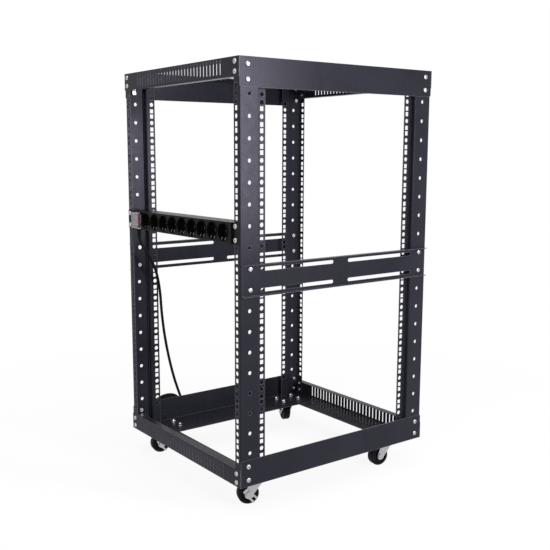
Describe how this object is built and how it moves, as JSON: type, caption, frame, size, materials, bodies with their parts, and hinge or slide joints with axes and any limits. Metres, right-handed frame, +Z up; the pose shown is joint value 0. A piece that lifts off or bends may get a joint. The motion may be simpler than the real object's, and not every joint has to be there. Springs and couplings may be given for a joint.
{
  "type": "four post open frame rack",
  "caption": "Open frame equipment rack of four drilled posts on swivel casters, with vented end panels, slotted side rails and a switched power strip.",
  "frame": {"origin": "on the floor under the middle of the rack with its power strip", "axes": "+X to the right of someone facing the front, +Y to the back, +Z up"},
  "size_m": [0.6152, 0.568, 0.966],
  "materials": {
    "black_paint": "satin black powder coat",
    "zinc": "bright zinc plate",
    "wheel_black": "matte",
    "strip_metal": "satin black",
    "strip_plastic": "satin",
    "rocker_red": "gloss",
    "clear_cover": "clear plastic",
    "cord_black": "matte"
  },
  "bodies": {
    "rack": {"post_front_left": "black_paint", "post_front_right": "black_paint", "post_rear_left": "black_paint", "post_rear_right": "black_paint", "top_side_panel_left": "black_paint", "top_side_panel_right": "black_paint", "top_vent_panel_front": "black_paint", "top_vent_panel_rear": "black_paint", "bottom_side_panel_left": "black_paint", "bottom_side_panel_right": "black_paint", "bottom_vent_panel_front": "black_paint", "bottom_vent_panel_rear": "black_paint", "side_rail_left": "black_paint", "side_rail_right": "black_paint", "caster_plate_front_right": "zinc", "caster_plate_front_left": "zinc", "caster_plate_rear_right": "zinc", "caster_plate_rear_left": "zinc", "power_strip_housing": "strip_metal", "power_strip_ear_left": "strip_metal", "power_strip_ear_right": "strip_metal", "power_strip_sockets": "strip_plastic", "power_strip_switch_plate": "strip_plastic", "power_strip_switch_frame": "strip_plastic", "power_cord_gland": "cord_black", "power_cord_lead": "cord_black", "power_cord_coil": "cord_black", "power_cord_tail": "cord_black", "power_cord_plug": "cord_black"},
    "fork_front_right": {"caster_fork_front_right": "zinc", "caster_axle_front_right": "zinc"},
    "wheel_front_right": {"caster_wheel_front_right": "wheel_black"},
    "fork_front_left": {"caster_fork_front_left": "zinc", "caster_axle_front_left": "zinc"},
    "wheel_front_left": {"caster_wheel_front_left": "wheel_black"},
    "fork_rear_right": {"caster_fork_rear_right": "zinc", "caster_axle_rear_right": "zinc"},
    "wheel_rear_right": {"caster_wheel_rear_right": "wheel_black"},
    "fork_rear_left": {"caster_fork_rear_left": "zinc", "caster_axle_rear_left": "zinc"},
    "wheel_rear_left": {"caster_wheel_rear_left": "wheel_black"},
    "brake_front_left": {"caster_brake_front_left": "zinc"},
    "brake_front_right": {"caster_brake_front_right": "zinc"},
    "rocker": {"power_strip_rocker": "rocker_red"},
    "switch_cover": {"power_strip_switch_cover": "clear_cover"}
  },
  "joints": [
    {"name": "swivel_front_right", "type": "hinge", "parent": "rack", "child": "fork_front_right", "pos_m": [0.2005, -0.192, 0.0645], "axis": [0, 0, 1], "continuous": true},
    {"name": "wheel_spin_front_right", "type": "hinge", "parent": "fork_front_right", "child": "wheel_front_right", "pos_m": [0.19262, -0.21254, 0.0245], "axis": [0.9336, -0.3584, 0], "continuous": true},
    {"name": "brake_lever_front_right", "type": "hinge", "parent": "fork_front_right", "child": "brake_front_right", "pos_m": [0.19262, -0.21254, 0.0245], "axis": [0.9336, -0.3584, 0], "range_deg": [0, 20]},
    {"name": "swivel_front_left", "type": "hinge", "parent": "rack", "child": "fork_front_left", "pos_m": [-0.2005, -0.192, 0.0645], "axis": [0, 0, 1], "continuous": true},
    {"name": "wheel_spin_front_left", "type": "hinge", "parent": "fork_front_left", "child": "wheel_front_left", "pos_m": [-0.20432, -0.21367, 0.0245], "axis": [0.9848, -0.1736, 0], "continuous": true},
    {"name": "brake_lever_front_left", "type": "hinge", "parent": "fork_front_left", "child": "brake_front_left", "pos_m": [-0.20432, -0.21367, 0.0245], "axis": [0.9848, -0.1736, 0], "range_deg": [0, 20]},
    {"name": "swivel_rear_right", "type": "hinge", "parent": "rack", "child": "fork_rear_right", "pos_m": [0.2005, 0.207, 0.0645], "axis": [0, 0, 1], "continuous": true},
    {"name": "wheel_spin_rear_right", "type": "hinge", "parent": "fork_rear_right", "child": "wheel_rear_right", "pos_m": [0.19706, 0.18527, 0.0245], "axis": [0.9877, -0.1564, 0], "continuous": true},
    {"name": "swivel_rear_left", "type": "hinge", "parent": "rack", "child": "fork_rear_left", "pos_m": [-0.2005, 0.207, 0.0645], "axis": [0, 0, 1], "continuous": true},
    {"name": "wheel_spin_rear_left", "type": "hinge", "parent": "fork_rear_left", "child": "wheel_rear_left", "pos_m": [-0.22117, 0.21452, 0.0245], "axis": [-0.342, -0.9397, 0], "continuous": true},
    {"name": "rocker_switch", "type": "hinge", "parent": "rack", "child": "rocker", "pos_m": [-0.183, -0.2695, 0.61284], "axis": [1, 0, 0], "range_deg": [-8, 8]},
    {"name": "switch_cover_hinge", "type": "hinge", "parent": "rack", "child": "switch_cover", "pos_m": [-0.183, -0.2775, 0.63034], "axis": [-1, 0, 0], "range_deg": [0, 90]}
  ]
}
